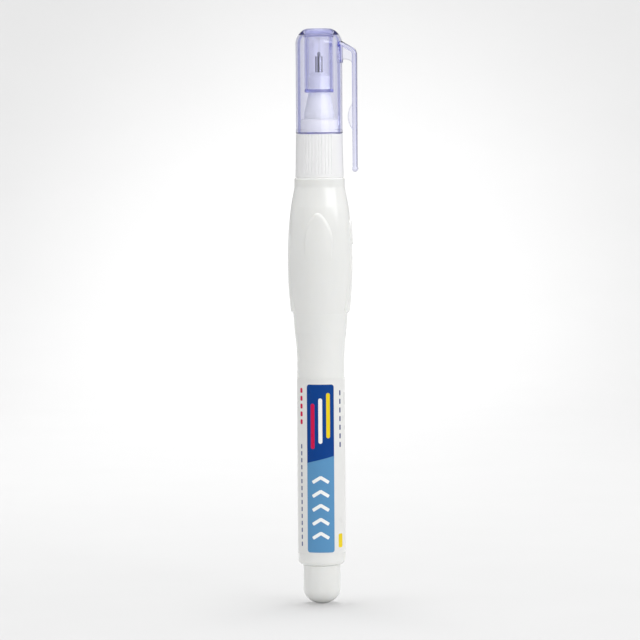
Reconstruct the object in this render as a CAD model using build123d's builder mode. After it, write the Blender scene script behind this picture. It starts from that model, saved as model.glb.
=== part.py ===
from build123d import *
import math
import os

# Squeeze-type correction pen, capped, standing on its tail.
# Millimetres. The origin is the lowest point of the tail, on the pen's axis.
# +Z runs up the pen to the cap, the clip is at +X and the front of the pen is at -Y.

# Clearances shared by the fits
press_gap = 0.02        # pieces pressed together
fit_gap = 0.05          # pieces pushed together by hand, on the radius
seal_gap = 0.10         # cap tube over the nose, on the radius
rest_gap = 0.05         # loose pieces above what they rest on
overrun = 1.0           # how far cuts run past the faces they open

# Mixing ball and tail
ball_r = 2.5
ball_room = 0.98        # between the ball and the inside of the tail, on the radius
tail_wall = 1.0
tail_length = 9.75      # the part of the plug that shows
dome_height = 3.7
tail_edge = 0.3         # chamfer that shows as the dark line under the barrel
stem_step = 0.42        # shoulder of the plug that meets the barrel's lip
stem_wall = 0.85
bead_lift = 0.3         # snap bead above the lip
bead_height = 1.2
bead_lead_share = 0.6   # part of the bead's height that is the sloping lead

# Barrel
lip_width = 1.62        # from the lip's bore to the outside of the barrel
lip_height = 1.3
barrel_wall = 0.8
barrel_edge = 1.1       # round at the bottom rim
label_margin = 3.05     # bare barrel under the label
label_length = 42.4
label_head = 3.8        # bare barrel between the label and the flare
label_film = 0.07
flare_length = 12.0     # from the straight part up to the side pads
flare_rise = 0.88
flare_knee_shares = (0.62, 0.62)    # of the flare's length and rise, where the curve turns straight
pad_step = 0.38         # step at the foot of the side pads
swell_half = 12.95      # from the foot of the side pads to the widest place, and on to the shoulder
swell_rise = 0.89       # from the foot of the side pads to the widest place
shoulder_length = 7.0
shoulder_ledge = 0.25   # of the shoulder past the collar
shoulder_band = 2.2     # upright band under the ledge
shoulder_round = 3.0    # between the band and the slope below it
shoulder_edge = 0.25
shoulder_roof = 1.4      # wall under the shoulder's ledge

# Squeeze pads on the grip
arch_half_width = 3.75
arch_top_drop = 1.1     # from the end of the swell down to the top of the arch
arch_flank_radius = 10.0
arch_flank_angle = 43.0     # turn of each flank, in degrees
arch_shift = 2.5        # the arch's curve is the swell's, moved up
arch_lift = 0.03        # and out
arch_tail = 4.0         # how far the legs run below the widest place
arch_edge = 1.1
side_half_width = 3.4
side_corner = 1.7
side_shift = 1.0        # the side pad's curve is the swell's, moved down
side_tail = 3.0         # how far the side pads run above the widest place
side_edge = 0.9
boss_height = 6.0       # plain oval boss on the clip's side
boss_width = 3.6
boss_lift = 0.28
boss_rise = 6.85        # from the widest place up to the boss's middle

# Nozzle, and the stack that holds it on the neck
nozzle_r = 3.6
nozzle_wall = 0.7
clamp_width = 1.3       # from the nozzle's body to the outside of the neck
neck_wall = 1.0
neck_length = 8.0
neck_bead = 0.18
neck_bead_height = 1.0
neck_bead_share = 0.4   # height of the bead on the neck
gasket_thickness = 0.5
seat_thickness = 0.6
flange_thickness = 0.7
ledge_thickness = 0.8
cone_stand = 1.5        # straight body between the spigot's top and the cone
cone_height = 4.6
nose_r = 2.6
nose_length = 4.2
nose_crown = 0.9
nose_crown_r = 1.35
nose_roof = 1.7
nose_edge = 0.3
chamber_r = 1.75        # bore of the nose, round the plunger
chamber_start = 1.0     # how far the chamber's cone starts below the outer cone

# Ribbed collar
collar_wall = 0.90
collar_draft = 0.21     # the collar is this much slimmer at its top, on the radius
collar_edge = 0.2
spigot_wall = 0.95
spigot_length = 3.7
spigot_edge = 0.3
rib_band = 1.0          # plain band under the ribs
rib_groove = 0.17       # radius of the grooves between the ribs
rib_pitch = 8.4         # degrees
rib_grooves = 9         # in the patch at the front, and as many at the back

# Metal tip and needle
tip_r = 0.9
tip_length = 5.6        # from the flange to the mouth
tip_flange_r = 1.65
tip_flange = 0.6
tip_bore_r = 0.58
mouth_r = 0.44
mouth_wall = 0.40
mouth_length = 0.9
mouth_cone = 0.4
tip_taper = 0.12
stem_slack = 0.08       # stem in the tip's bore, on the radius
pin_slack = 0.06        # pin in the mouth, on the radius
pin_reach = 1.1         # how far the pin stands out of the mouth
plunger_r = 1.45
plunger_drop = 1.8      # from the tip's flange down to the top of the plunger's flange
plunger_flange = 0.8
plunger_boss_r = 0.95
plunger_boss = 1.4      # length of the boss below the flange
plunger_collar = 0.8    # and above it
needle_depth = 1.0      # how far the stem reaches into the boss below the flange

# Spring and its seat
wire_r = 0.15
spring_slack = 0.15     # between the spring and the bosses that centre it
spring_turns = 6
seat_hub_height = 1.4   # hub above the seat's flange
seat_boss_height = 1.1
seat_holes = 6
seat_hole_r = 0.4
seat_port_r = 0.5
hole_circle_share = 0.55    # place of the seat's holes between its boss and the hub's edge

# Cap
cap_wall = 0.97
cap_rest = 0.07         # rim above the collar's ledge
rim_band = 1.0
rim_lift = 0.05
dome_rise = 3.7
crown_r = 3.0
crown_edge = 0.35
tip_headroom = 3.6      # above the pin
cap_roof = 2.0
tube_wall = 0.83
tube_gap = 0.25         # from the cone up to the tube's rim
annulus_roof = 2.4      # solid plastic above the space round the tube

# Clip, moulded with the cap
clip_gap = 2.5          # from the cap to the bar
clip_bar = 1.1
clip_width = 4.0
clip_end_width = 3.0
clip_edge = 0.2
clip_root_drop = 3.4    # from the cap's top to the middle of the arm at the cap
clip_bend_drop = 5.4    # and to the bend
clip_bend = 1.6
clip_length = 34.7      # from the cap's top to the end of the bar
clip_bead = 0.7         # radius of the rounded end
web_thickness = 1.0
web_drop = 7.8          # from the cap's top to the web's foot on the cap
web_reach = 9.8        # and on the bar
rib_proud = 1.15        # contact rib on the inner face of the bar
rib_length = 6.4
rib_drop = 21.3         # from the cap's top to the rib's middle
root_pad = 0.12         # flat pad at the clip's root, proud of the cap
root_pad_length = 5.0
root_pad_drop = 3.3
root_pad_corner = 0.8

# Radii that follow
tail_r = ball_r + ball_room + tail_wall
stem_r = tail_r - stem_step
stem_bore_r = stem_r - stem_wall
lip_r = stem_r + fit_gap
barrel_r = lip_r + lip_width
flare_r = barrel_r + flare_rise
side_foot_r = flare_r + pad_step
swell_r = side_foot_r + swell_rise
neck_r = nozzle_r + clamp_width
neck_bore_r = neck_r - neck_wall
neck_bead_r = neck_r + neck_bead
clamp_r = neck_r - fit_gap
nozzle_bore_r = nozzle_r - nozzle_wall
collar_bore_r = neck_r + fit_gap
collar_foot_r = collar_bore_r + collar_wall
collar_top_r = collar_foot_r - collar_draft
shoulder_r = collar_foot_r + shoulder_ledge
ledge_bore_r = nozzle_r + fit_gap
spigot_r = ledge_bore_r + spigot_wall
cap_bore_r = spigot_r + fit_gap
cap_r = cap_bore_r + cap_wall
tube_bore_r = nose_r + seal_gap
tube_r = tube_bore_r + tube_wall
label_bore_r = barrel_r + press_gap
label_r = label_bore_r + label_film
stem_shaft_r = tip_bore_r - stem_slack
pin_r = mouth_r - pin_slack
spring_r = plunger_boss_r + spring_slack + wire_r
seat_hub_r = nozzle_bore_r - fit_gap

# Heights that follow
barrel_z = tail_length
reservoir_z = barrel_z + lip_height
label_z = barrel_z + label_margin
flare_z = label_z + label_length + label_head
side_z = flare_z + flare_length
swell_z = side_z + swell_half
arch_z = swell_z + swell_half
shoulder_z = arch_z + shoulder_length
bead_z = shoulder_z + neck_bead_share * neck_length
neck_z = shoulder_z + neck_length
seat_z = neck_z + gasket_thickness
clamp_z = seat_z + seat_thickness
ledge_z = clamp_z + flange_thickness
collar_z = ledge_z + ledge_thickness
spigot_z = collar_z + spigot_length
cone_z = spigot_z + cone_stand
nose_z = cone_z + cone_height
crown_z = nose_z + nose_length
nozzle_top_z = crown_z + nose_crown
flange_top_z = nozzle_top_z - nose_roof
mouth_z = flange_top_z + tip_length
cone_top_z = mouth_z - mouth_length
pin_z = mouth_z + pin_reach
plunger_z = flange_top_z - tip_flange - plunger_drop
plunger_foot_z = plunger_z - plunger_flange
stem_foot_z = plunger_foot_z - needle_depth
seat_top_z = clamp_z + seat_hub_height
spring_foot_z = seat_top_z + rest_gap + wire_r
spring_head_z = plunger_foot_z - rest_gap - wire_r
cap_z = collar_z + cap_rest
cap_top_z = pin_z + tip_headroom + cap_roof
tube_z = nose_z + tube_gap

os.makedirs("parts", exist_ok=True)


def turned(points, mode=Mode.ADD):
    """Revolve a closed outline of (radius, height) points about the pen's axis."""
    with BuildSketch(Plane.XZ) as profile:
        with BuildLine():
            Polyline(*points, close=True)
        make_face()
    revolve(profile.sketch, axis=Axis.Z, mode=mode)


def ring(inner_r, outer_r, low_z, high_z):
    """A plain ring about the pen's axis."""
    turned([(inner_r, low_z), (outer_r, low_z), (outer_r, high_z), (inner_r, high_z)])


def swell_curve(inset, shift, lift):
    """Three points of the grip's curve, set in by a wall and moved up and out."""
    edge_r = side_foot_r - inset + lift
    middle_r = swell_r - inset + lift
    return (edge_r, side_z + shift), (middle_r, swell_z + shift), (edge_r, arch_z + shift)


def swell_solid(profile_plane, shift, lift):
    """The solid that the grip's curve sweeps about the axis, with its seam in the given plane."""
    foot, middle, top = swell_curve(0, shift, lift)
    with BuildSketch(profile_plane) as profile:
        with BuildLine():
            ThreePointArc(foot, middle, top)
            Polyline(top, (0, top[1]), (0, foot[1]), foot)
        make_face()
    revolve(profile.sketch, axis=Axis.Z)


def barrel_side(inset):
    """Side of the barrel from the straight part up to the end of the swell, set in by a wall."""
    knee_z = flare_z + flare_knee_shares[0] * flare_length
    knee_r = barrel_r + flare_knee_shares[1] * flare_rise
    middle, top = swell_curve(inset, 0, 0)[1:]
    knee = (knee_r - inset, knee_z)
    flare_end = (flare_r - inset, side_z)
    TangentArc((barrel_r - inset, flare_z), knee, tangent=(0, 1))
    Line(knee, flare_end)
    TangentArc(middle, flare_end, tangent=(0, -1))
    TangentArc(middle, top, tangent=(0, 1))
    return top


def coil_point(step):
    """Point of the spring's centre line after a number of quarter turns."""
    angle = step * math.pi / 2
    height = step / (4 * spring_turns) * (spring_head_z - spring_foot_z)
    return Vector(spring_r * math.cos(angle), spring_r * math.sin(angle), spring_foot_z + height)


def coil_way(step):
    """Direction of the spring's centre line there."""
    angle = step * math.pi / 2
    climb = (spring_head_z - spring_foot_z) / (2 * math.pi * spring_turns)
    return Vector(-spring_r * math.sin(angle), spring_r * math.cos(angle), climb).normalized()


def biarc(start, start_way, end, end_way):
    """Two arcs that join two points smoothly, each given by its start, middle and end."""
    chord = end - start
    along = chord.dot(start_way + end_way)
    spread = 2 * (1 - start_way.dot(end_way))
    reach = (math.sqrt(along**2 + spread * chord.dot(chord)) - along) / spread
    first_corner = start + start_way * reach
    last_corner = end - end_way * reach
    join = (first_corner + last_corner) * 0.5
    arcs = []
    for a, corner, b in ((start, first_corner, join), (join, last_corner, end)):
        weight = (b - a).length / 2 / (corner - a).length
        arcs.append((a, (a + b + corner * (2 * weight)) * (0.5 / (1 + weight)), b))
    return arcs


# Raised pads on the grip. Each is the grip's own curve, moved a little, inside an outline.
# A pad stands proud at one end and sinks into the grip at the other, so its step fades out.
# The arches at the front and back stand proud at their tops.
with BuildPart() as arch_pads:
    swell_solid(Plane.XZ, arch_shift, arch_lift)
    flank_turn = math.radians(arch_flank_angle)
    flank_in = arch_flank_radius * (1 - math.cos(flank_turn))
    flank_up = arch_flank_radius * math.sin(flank_turn)
    apex_radius = (arch_half_width - flank_in) / math.cos(flank_turn)
    arch_top_z = arch_z - arch_top_drop
    flank_z = arch_top_z - apex_radius * (1 - math.sin(flank_turn))
    spring_line_z = flank_z - flank_up
    arch_foot_z = swell_z - arch_tail
    with BuildSketch(Plane.XZ):
        with BuildLine():
            leg = Line((arch_half_width, arch_foot_z), (arch_half_width, spring_line_z))
            flank = TangentArc(leg @ 1, (arch_half_width - flank_in, flank_z), tangent=(0, 1))
            TangentArc(flank @ 1, (0, arch_top_z), tangent=flank % 1)
            Line((0, arch_foot_z), leg @ 0)
            mirror(about=Plane.YZ)
        make_face()
    extrude(amount=swell_r + overrun, both=True, mode=Mode.INTERSECT)
    outer_edges = arch_pads.edges().filter_by(lambda e: abs(e.center().Y) > swell_r / 2)
    fillet(outer_edges.filter_by(lambda e: e.center().Z > arch_foot_z + arch_edge), arch_edge)

# The pads at the two sides stand proud at their feet.
with BuildPart() as side_pads:
    swell_solid(Plane.YZ, -side_shift, 0)
    side_top_z = swell_z + side_tail
    with BuildSketch(Plane.YZ):
        with BuildLine():
            outline = FilletPolyline(
                (side_half_width, side_top_z),
                (side_half_width, side_z),
                (-side_half_width, side_z),
                (-side_half_width, side_top_z),
                radius=side_corner,
            )
            Line(outline @ 1, outline @ 0)
        make_face()
    extrude(amount=swell_r + overrun, both=True, mode=Mode.INTERSECT)
    outer_edges = side_pads.edges().filter_by(lambda e: abs(e.center().X) > swell_r / 2)
    fillet(outer_edges.filter_by(lambda e: e.center().Z < swell_z), side_edge)

with BuildPart() as oval_boss:
    swell_solid(Plane.YZ, 0, boss_lift)
    with BuildSketch(Plane.YZ):
        with Locations((0, swell_z + boss_rise)):
            Ellipse(boss_width / 2, boss_height / 2)
    extrude(amount=swell_r + overrun, mode=Mode.INTERSECT)

# Barrel: squeeze bottle with a lip at the bottom and a neck with a snap bead on top
with BuildPart() as barrel:
    with BuildSketch(Plane.XZ):
        with BuildLine():
            side_end = barrel_side(0)
            edge = RadiusArc(
                (barrel_r - barrel_edge, barrel_z), (barrel_r, barrel_z + barrel_edge), -barrel_edge
            )
            Line(edge @ 1, (barrel_r, flare_z))
            band = FilletPolyline(
                side_end,
                (shoulder_r, shoulder_z - shoulder_band),
                (shoulder_r, shoulder_z - shoulder_edge),
                radius=shoulder_round,
            )
            Polyline(
                band @ 1,
                (shoulder_r - shoulder_edge, shoulder_z),
                (neck_r, shoulder_z),
                (neck_r, bead_z),
                (neck_bead_r, bead_z + neck_bead),
                (neck_r, bead_z + neck_bead_height),
                (neck_r, neck_z),
                (0, neck_z),
                (0, barrel_z),
                edge @ 0,
            )
        make_face()
    revolve(axis=Axis.Z)
    add(arch_pads.part)
    add(side_pads.part)
    add(oval_boss.part)
    # The reservoir, from the lip to the shoulder
    reservoir_r = barrel_r - barrel_wall
    roof_z = shoulder_z - shoulder_roof
    with BuildSketch(Plane.XZ):
        with BuildLine():
            side_end = barrel_side(barrel_wall)
            Polyline(
                side_end,
                (shoulder_r - barrel_wall, roof_z),
                (0, roof_z),
                (0, reservoir_z),
                (reservoir_r, reservoir_z),
                (reservoir_r, flare_z),
            )
        make_face()
    revolve(axis=Axis.Z, mode=Mode.SUBTRACT)
    # The bores through the lip and the neck
    turned([(0, barrel_z - overrun), (lip_r, barrel_z - overrun), (lip_r, reservoir_z), (0, reservoir_z)],
           Mode.SUBTRACT)
    turned([(0, roof_z), (neck_bore_r, roof_z), (neck_bore_r, neck_z + overrun), (0, neck_z + overrun)],
           Mode.SUBTRACT)
barrel.part.label = "barrel"
export_step(barrel.part, "parts/barrel.step")

# Label: film wrapped round the straight part of the barrel
with BuildPart() as label:
    ring(label_bore_r, label_r, label_z, label_z + label_length)
label.part.label = "label"
export_step(label.part, "parts/label.step")

# End plug: hollow dome whose stem snaps through the barrel's lip
with BuildPart() as end_plug:
    stem_top_z = reservoir_z + rest_gap + bead_height
    lead_z = stem_top_z - bead_lead_share * bead_height
    with BuildSketch(Plane.XZ):
        with BuildLine():
            dome = EllipticalCenterArc((0, dome_height), tail_r, dome_height, start_angle=270, arc_size=90)
            Polyline(
                dome @ 1,
                (tail_r, barrel_z - tail_edge),
                (tail_r - tail_edge, barrel_z),
                (stem_r, barrel_z),
                (stem_r, reservoir_z + rest_gap),
                (stem_r + bead_lift, reservoir_z + rest_gap),
                (stem_r + bead_lift, lead_z),
                (stem_r, stem_top_z),
                (stem_bore_r, stem_top_z),
                (stem_bore_r, barrel_z),
                (tail_r - tail_wall, barrel_z - tail_wall),
                (tail_r - tail_wall, dome_height),
            )
            inside = EllipticalCenterArc(
                (0, dome_height), tail_r - tail_wall, dome_height - tail_wall, start_angle=270, arc_size=90
            )
            Line(inside @ 0, dome @ 0)
        make_face()
    revolve(axis=Axis.Z)
end_plug.part.label = "end_plug"
export_step(end_plug.part, "parts/end_plug.step")

# Mixing ball: loose in the reservoir, resting in the tail
with BuildPart() as mixing_ball:
    with Locations((0, 0, tail_wall + rest_gap + ball_r)):
        Sphere(ball_r)
mixing_ball.part.label = "mixing_ball"
export_step(mixing_ball.part, "parts/mixing_ball.step")

# Neck gasket: washer on the rim of the neck
with BuildPart() as neck_gasket:
    ring(neck_bore_r, clamp_r, neck_z, seat_z)
neck_gasket.part.label = "neck_gasket"
export_step(neck_gasket.part, "parts/neck_gasket.step")

# Spring seat: flange clamped on the gasket, hub inside the nozzle, holes for the fluid
with BuildPart() as spring_seat:
    turned([
        (0, seat_z),
        (clamp_r, seat_z),
        (clamp_r, clamp_z),
        (seat_hub_r, clamp_z),
        (seat_hub_r, seat_top_z),
        (plunger_boss_r, seat_top_z),
        (plunger_boss_r, seat_top_z + seat_boss_height),
        (0, seat_top_z + seat_boss_height),
    ])
    outer_coil_r = spring_r + wire_r
    hole_circle_r = outer_coil_r + hole_circle_share * (seat_hub_r - outer_coil_r)
    with BuildSketch(Plane.XY.offset(seat_z - overrun)):
        with PolarLocations(hole_circle_r, seat_holes):
            Circle(seat_hole_r)
        Circle(seat_port_r)
    extrude(amount=seat_top_z + seat_boss_height - seat_z + 2 * overrun, mode=Mode.SUBTRACT)
spring_seat.part.label = "spring_seat"
export_step(spring_seat.part, "parts/spring_seat.step")

# Nozzle: flange under the collar's ledge, body, cone and nose
with BuildPart() as nozzle:
    turned([
        (nozzle_bore_r, clamp_z),
        (clamp_r, clamp_z),
        (clamp_r, ledge_z),
        (nozzle_r, ledge_z),
        (nozzle_r, cone_z),
        (nose_r, nose_z),
        (nose_r, crown_z),
        (nose_crown_r, nozzle_top_z),
        (tip_r + press_gap, nozzle_top_z),
        (tip_r + press_gap, flange_top_z),
        (chamber_r, flange_top_z),
        (chamber_r, nose_z - chamber_start),
        (nozzle_bore_r, cone_z - chamber_start),
    ])
    upper_rims = nozzle.edges().filter_by(GeomType.CIRCLE).filter_by(lambda e: e.center().Z > spigot_z)
    fillet(upper_rims.filter_by(lambda e: e.radius > (chamber_r + nose_r) / 2), nose_edge)
nozzle.part.label = "nozzle"
export_step(nozzle.part, "parts/nozzle.step")

# Metal tip: flanged tube with a conical seat behind its mouth
with BuildPart() as metal_tip:
    turned([
        (tip_bore_r, flange_top_z - tip_flange),
        (tip_flange_r, flange_top_z - tip_flange),
        (tip_flange_r, flange_top_z),
        (tip_r, flange_top_z),
        (tip_r, mouth_z - tip_taper),
        (mouth_r + mouth_wall, mouth_z),
        (mouth_r, mouth_z),
        (mouth_r, cone_top_z),
        (tip_bore_r, cone_top_z - mouth_cone),
    ])
metal_tip.part.label = "metal_tip"
export_step(metal_tip.part, "parts/metal_tip.step")

# Valve needle: stem with a conical shoulder that shuts the mouth, and the pin that stands out
with BuildPart() as valve_needle:
    shoulder_foot_z = cone_top_z - rest_gap - mouth_cone
    with BuildSketch(Plane.XZ):
        with BuildLine():
            pin_end = RadiusArc((pin_r, pin_z - pin_r), (0, pin_z), -pin_r)
            Polyline(
                pin_end @ 1,
                (0, stem_foot_z),
                (stem_shaft_r, stem_foot_z),
                (stem_shaft_r, shoulder_foot_z),
                (pin_r, shoulder_foot_z + mouth_cone),
                pin_end @ 0,
            )
        make_face()
    revolve(axis=Axis.Z)
valve_needle.part.label = "valve_needle"
export_step(valve_needle.part, "parts/valve_needle.step")

# Needle plunger: sleeve on the stem, whose flange the spring pushes up
with BuildPart() as needle_plunger:
    sleeve_bore_r = stem_shaft_r + press_gap
    turned([
        (0, plunger_foot_z - plunger_boss),
        (plunger_boss_r, plunger_foot_z - plunger_boss),
        (plunger_boss_r, plunger_foot_z),
        (plunger_r, plunger_foot_z),
        (plunger_r, plunger_z),
        (plunger_boss_r, plunger_z),
        (plunger_boss_r, plunger_z + plunger_collar),
        (sleeve_bore_r, plunger_z + plunger_collar),
        (sleeve_bore_r, stem_foot_z - rest_gap),
        (0, stem_foot_z - rest_gap),
    ])
needle_plunger.part.label = "needle_plunger"
export_step(needle_plunger.part, "parts/needle_plunger.step")

# Valve spring: open helix of round wire, as arcs of a quarter turn
with BuildPart() as valve_spring:
    coil_points = []
    with BuildLine() as coil:
        for step in range(4 * spring_turns):
            for arc in biarc(coil_point(step), coil_way(step), coil_point(step + 1), coil_way(step + 1)):
                ThreePointArc(*arc)
                coil_points.extend(arc[:2])
    with BuildSketch(Plane(coil_point(0), z_dir=coil_way(0))):
        Circle(wire_r)
    sweep(path=coil.line)
    turn_points = len(coil_points) // spring_turns
    coil_gap = min(
        (coil_points[i] - coil_points[j]).length
        for i in range(len(coil_points))
        for j in range(i + turn_points // 2, len(coil_points))
    ) - 2 * wire_r
    print(f"valve spring: least gap between turns {coil_gap:.2f} mm")
valve_spring.part.label = "valve_spring"
export_step(valve_spring.part, "parts/valve_spring.step")

# Cutter for one groove between the ribs, along the collar's slanting side
with BuildPart() as rib_cutter:
    slant_foot = Vector(collar_foot_r, 0, shoulder_z)
    slant = Vector(collar_top_r, 0, collar_z) - slant_foot
    slant_way = slant.normalized()
    with BuildSketch(Plane(slant_foot + slant_way * rib_band, x_dir=(0, 1, 0), z_dir=slant_way)):
        Circle(rib_groove)
    extrude(amount=slant.length - rib_band + overrun)

# Ribbed collar: skirt over the neck, ledge over the nozzle's flange, spigot for the cap
with BuildPart() as ribbed_collar:
    groove_z = bead_z - rest_gap
    groove_r = neck_bead_r + fit_gap
    turned([
        (collar_bore_r, shoulder_z),
        (collar_foot_r - collar_edge, shoulder_z),
        (collar_foot_r, shoulder_z + collar_edge),
        (collar_top_r, collar_z),
        (spigot_r, collar_z),
        (spigot_r, spigot_z - spigot_edge),
        (spigot_r - spigot_edge, spigot_z),
        (ledge_bore_r, spigot_z),
        (ledge_bore_r, ledge_z),
        (collar_bore_r, ledge_z),
        (collar_bore_r, groove_z + neck_bead_height + 2 * rest_gap),
        (groove_r, groove_z + neck_bead + rest_gap),
        (collar_bore_r, groove_z),
    ])
    # The grooves, in a patch at the front and one at the back
    patch = rib_pitch * (rib_grooves - 1)
    for middle in (-90, 90):
        first = middle - patch / 2
        with PolarLocations(0, rib_grooves, start_angle=first, angular_range=patch, endpoint=True):
            add(rib_cutter.part, mode=Mode.SUBTRACT)
ribbed_collar.part.label = "ribbed_collar"
export_step(ribbed_collar.part, "parts/ribbed_collar.step")

# Clip, with the web under its arm and the contact rib on the bar's inner face
with BuildPart() as clip:
    bar_x = cap_r + clip_gap + clip_bar / 2
    bend_z = cap_top_z - clip_bend_drop
    clip_end_z = cap_top_z - clip_length
    arm_root = (cap_r - cap_wall / 2, cap_top_z - clip_root_drop)
    bar_end = (bar_x, clip_end_z + clip_bead)
    with BuildSketch(Plane.XZ):
        with BuildLine():
            FilletPolyline(arm_root, (bar_x, bend_z), bar_end, radius=clip_bend)
        trace(line_width=clip_bar)
        with Locations(bar_end):
            Circle(clip_bead)
    extrude(amount=clip_width / 2, both=True)
    with BuildSketch(Plane.YZ):
        with BuildLine():
            Polyline(
                (clip_width / 2, cap_top_z),
                (clip_width / 2, bend_z),
                (clip_end_width / 2, clip_end_z),
                (-clip_end_width / 2, clip_end_z),
                (-clip_width / 2, bend_z),
                (-clip_width / 2, cap_top_z),
                close=True,
            )
        make_face()
    extrude(amount=bar_x + clip_bead + overrun, mode=Mode.INTERSECT)
    side_faces = clip.faces().filter_by(lambda f: abs(f.normal_at().Y) > 0.9)
    fillet(side_faces.edges(), clip_edge)
    with BuildSketch(Plane.XZ):
        with BuildLine():
            web_foot = (arm_root[0], cap_top_z - web_drop)
            web_end = (bar_x, cap_top_z - web_reach)
            TangentArc(web_end, web_foot, tangent=(0, 1))
            Polyline(web_foot, arm_root, (bar_x, bend_z), web_end)
        make_face()
        with BuildLine():
            inner_x = bar_x - clip_bar / 2
            rib_mid_z = cap_top_z - rib_drop
            rib_low = (inner_x, rib_mid_z - rib_length / 2)
            rib_high = (inner_x, rib_mid_z + rib_length / 2)
            ThreePointArc(rib_low, (inner_x - rib_proud, rib_mid_z), rib_high)
            Polyline(rib_high, (bar_x, rib_high[1]), (bar_x, rib_low[1]), rib_low)
        make_face()
    extrude(amount=web_thickness / 2, both=True)

# Cap: domed shell with an inner sealing tube, and the clip moulded on its side
with BuildPart() as cap:
    dome_z = cap_top_z - dome_rise
    with BuildSketch(Plane.XZ):
        with BuildLine():
            dome = TangentArc((cap_r, dome_z), (crown_r, cap_top_z), tangent=(0, 1))
            Polyline(
                dome @ 1,
                (0, cap_top_z),
                (0, cap_z),
                (cap_r + rim_lift, cap_z),
                (cap_r + rim_lift, cap_z + rim_band - rim_lift),
                (cap_r, cap_z + rim_band),
                dome @ 0,
            )
        make_face()
    revolve(axis=Axis.Z)
    fillet(cap.edges().filter_by(GeomType.CIRCLE).sort_by(Axis.Z)[-1], crown_edge)
    with BuildSketch(Plane.YZ):
        with Locations((0, cap_top_z - root_pad_drop - root_pad_length / 2)):
            RectangleRounded(clip_width, root_pad_length, root_pad_corner)
    extrude(amount=cap_r + root_pad)
    add(clip.part)
    # The space inside, and the sealing tube left standing in it
    annulus_z = cap_top_z - annulus_roof
    with BuildSketch(Plane.XZ):
        with BuildLine():
            inner_dome = TangentArc((cap_bore_r, dome_z), (tube_r, annulus_z), tangent=(0, 1))
            Polyline(
                inner_dome @ 1,
                (tube_r, tube_z),
                (0, tube_z),
                (0, cap_z - overrun),
                (cap_bore_r, cap_z - overrun),
                inner_dome @ 0,
            )
        make_face()
    revolve(axis=Axis.Z, mode=Mode.SUBTRACT)
    tube_top_z = cap_top_z - cap_roof
    tube_mouth_z = tube_z - overrun
    turned([(0, tube_mouth_z), (tube_bore_r, tube_mouth_z), (tube_bore_r, tube_top_z), (0, tube_top_z)],
           Mode.SUBTRACT)
cap.part.label = "cap"
export_step(cap.part, "parts/cap.step")
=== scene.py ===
# %% [markdown]
# # A squeeze-type correction pen
# The pen stands on its domed tail with its clear cap on. The CAD model gives the frame: every
# piece is already at its real size and place, in metres. This lesson dresses that frame. It sets
# up the camera and the studio first, then makes the finishes, and then models the pieces that
# need a finer mesh than the CAD one: the clear cap with its clip, the label and the valve spring.

# %% Load the frame
import math

import bpy
from mathutils import Euler, Matrix, Vector


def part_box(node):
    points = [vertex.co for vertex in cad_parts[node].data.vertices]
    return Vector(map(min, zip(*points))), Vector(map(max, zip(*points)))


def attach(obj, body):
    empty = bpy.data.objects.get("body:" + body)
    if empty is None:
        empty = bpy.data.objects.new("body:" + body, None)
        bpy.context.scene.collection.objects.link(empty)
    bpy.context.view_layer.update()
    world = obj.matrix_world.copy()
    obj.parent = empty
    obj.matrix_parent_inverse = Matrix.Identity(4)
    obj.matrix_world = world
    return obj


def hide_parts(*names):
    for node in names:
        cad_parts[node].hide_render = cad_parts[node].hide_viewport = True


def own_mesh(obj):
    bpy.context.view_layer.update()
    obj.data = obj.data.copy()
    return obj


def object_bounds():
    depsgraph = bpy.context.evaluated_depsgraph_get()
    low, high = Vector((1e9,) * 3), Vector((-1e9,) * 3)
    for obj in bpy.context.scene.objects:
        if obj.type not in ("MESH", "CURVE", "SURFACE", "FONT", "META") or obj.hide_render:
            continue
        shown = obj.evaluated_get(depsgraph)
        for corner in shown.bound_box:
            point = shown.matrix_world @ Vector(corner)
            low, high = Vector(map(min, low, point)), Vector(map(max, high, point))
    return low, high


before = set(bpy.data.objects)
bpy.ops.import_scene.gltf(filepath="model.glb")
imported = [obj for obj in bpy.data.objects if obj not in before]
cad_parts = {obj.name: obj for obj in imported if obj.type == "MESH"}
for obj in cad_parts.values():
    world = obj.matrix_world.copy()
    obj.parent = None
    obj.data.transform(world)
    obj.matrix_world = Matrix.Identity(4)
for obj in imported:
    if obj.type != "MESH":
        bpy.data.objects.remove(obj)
cad_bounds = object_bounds()
MM = 0.001  # sizes are written in millimetres, and Blender counts in metres
pen_length = cad_bounds[1].z / MM
print(f"frame: {len(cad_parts)} nodes, {pen_length:.1f} mm long")

# %% [markdown]
# ## Camera
# The photograph was taken from a little above the middle of the pen, with a long lens, so that
# the pen's sides stay parallel. The camera stands slightly to the right of the pen's front, and
# it is rolled a little, because the pen leans to the left in the picture.

# %% Camera
camera_distance = 900
eye_height = 120.6
aim_height = 69.3
seen_width = 155.73
camera_turn = math.radians(4)
camera_roll = math.radians(-0.36)
camera_side = -0.12
sensor_width = 36

eye = Vector((math.sin(camera_turn), -math.cos(camera_turn), 0)) * camera_distance
eye.z = eye_height
look_down = math.atan2(eye_height - aim_height, camera_distance)
level = Euler((math.pi / 2 - look_down, 0, camera_turn)).to_matrix()
turned_level = level @ Matrix.Rotation(camera_roll, 3, "Z")
eye += level @ Vector((camera_side, 0, 0))
bpy.ops.object.camera_add(location=eye * MM, rotation=turned_level.to_euler())
camera = bpy.context.object
camera.data.sensor_width = sensor_width
camera.data.lens = sensor_width * camera_distance / math.cos(look_down) / seen_width
camera.data.clip_start = camera_distance * MM / 10
bpy.context.scene.camera = camera
print(f"camera: {camera.data.lens:.0f} mm lens, {math.degrees(look_down):.1f} degrees down")

# %% [markdown]
# ## One way to write a material
# Colours are chosen as sRGB hex values, the way a paint program shows them. Blender mixes light in
# linear values, so one function converts them. A second function adds any node: its settings are
# the node's own properties, and its inputs are plain values or the outputs of other nodes.

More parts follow.
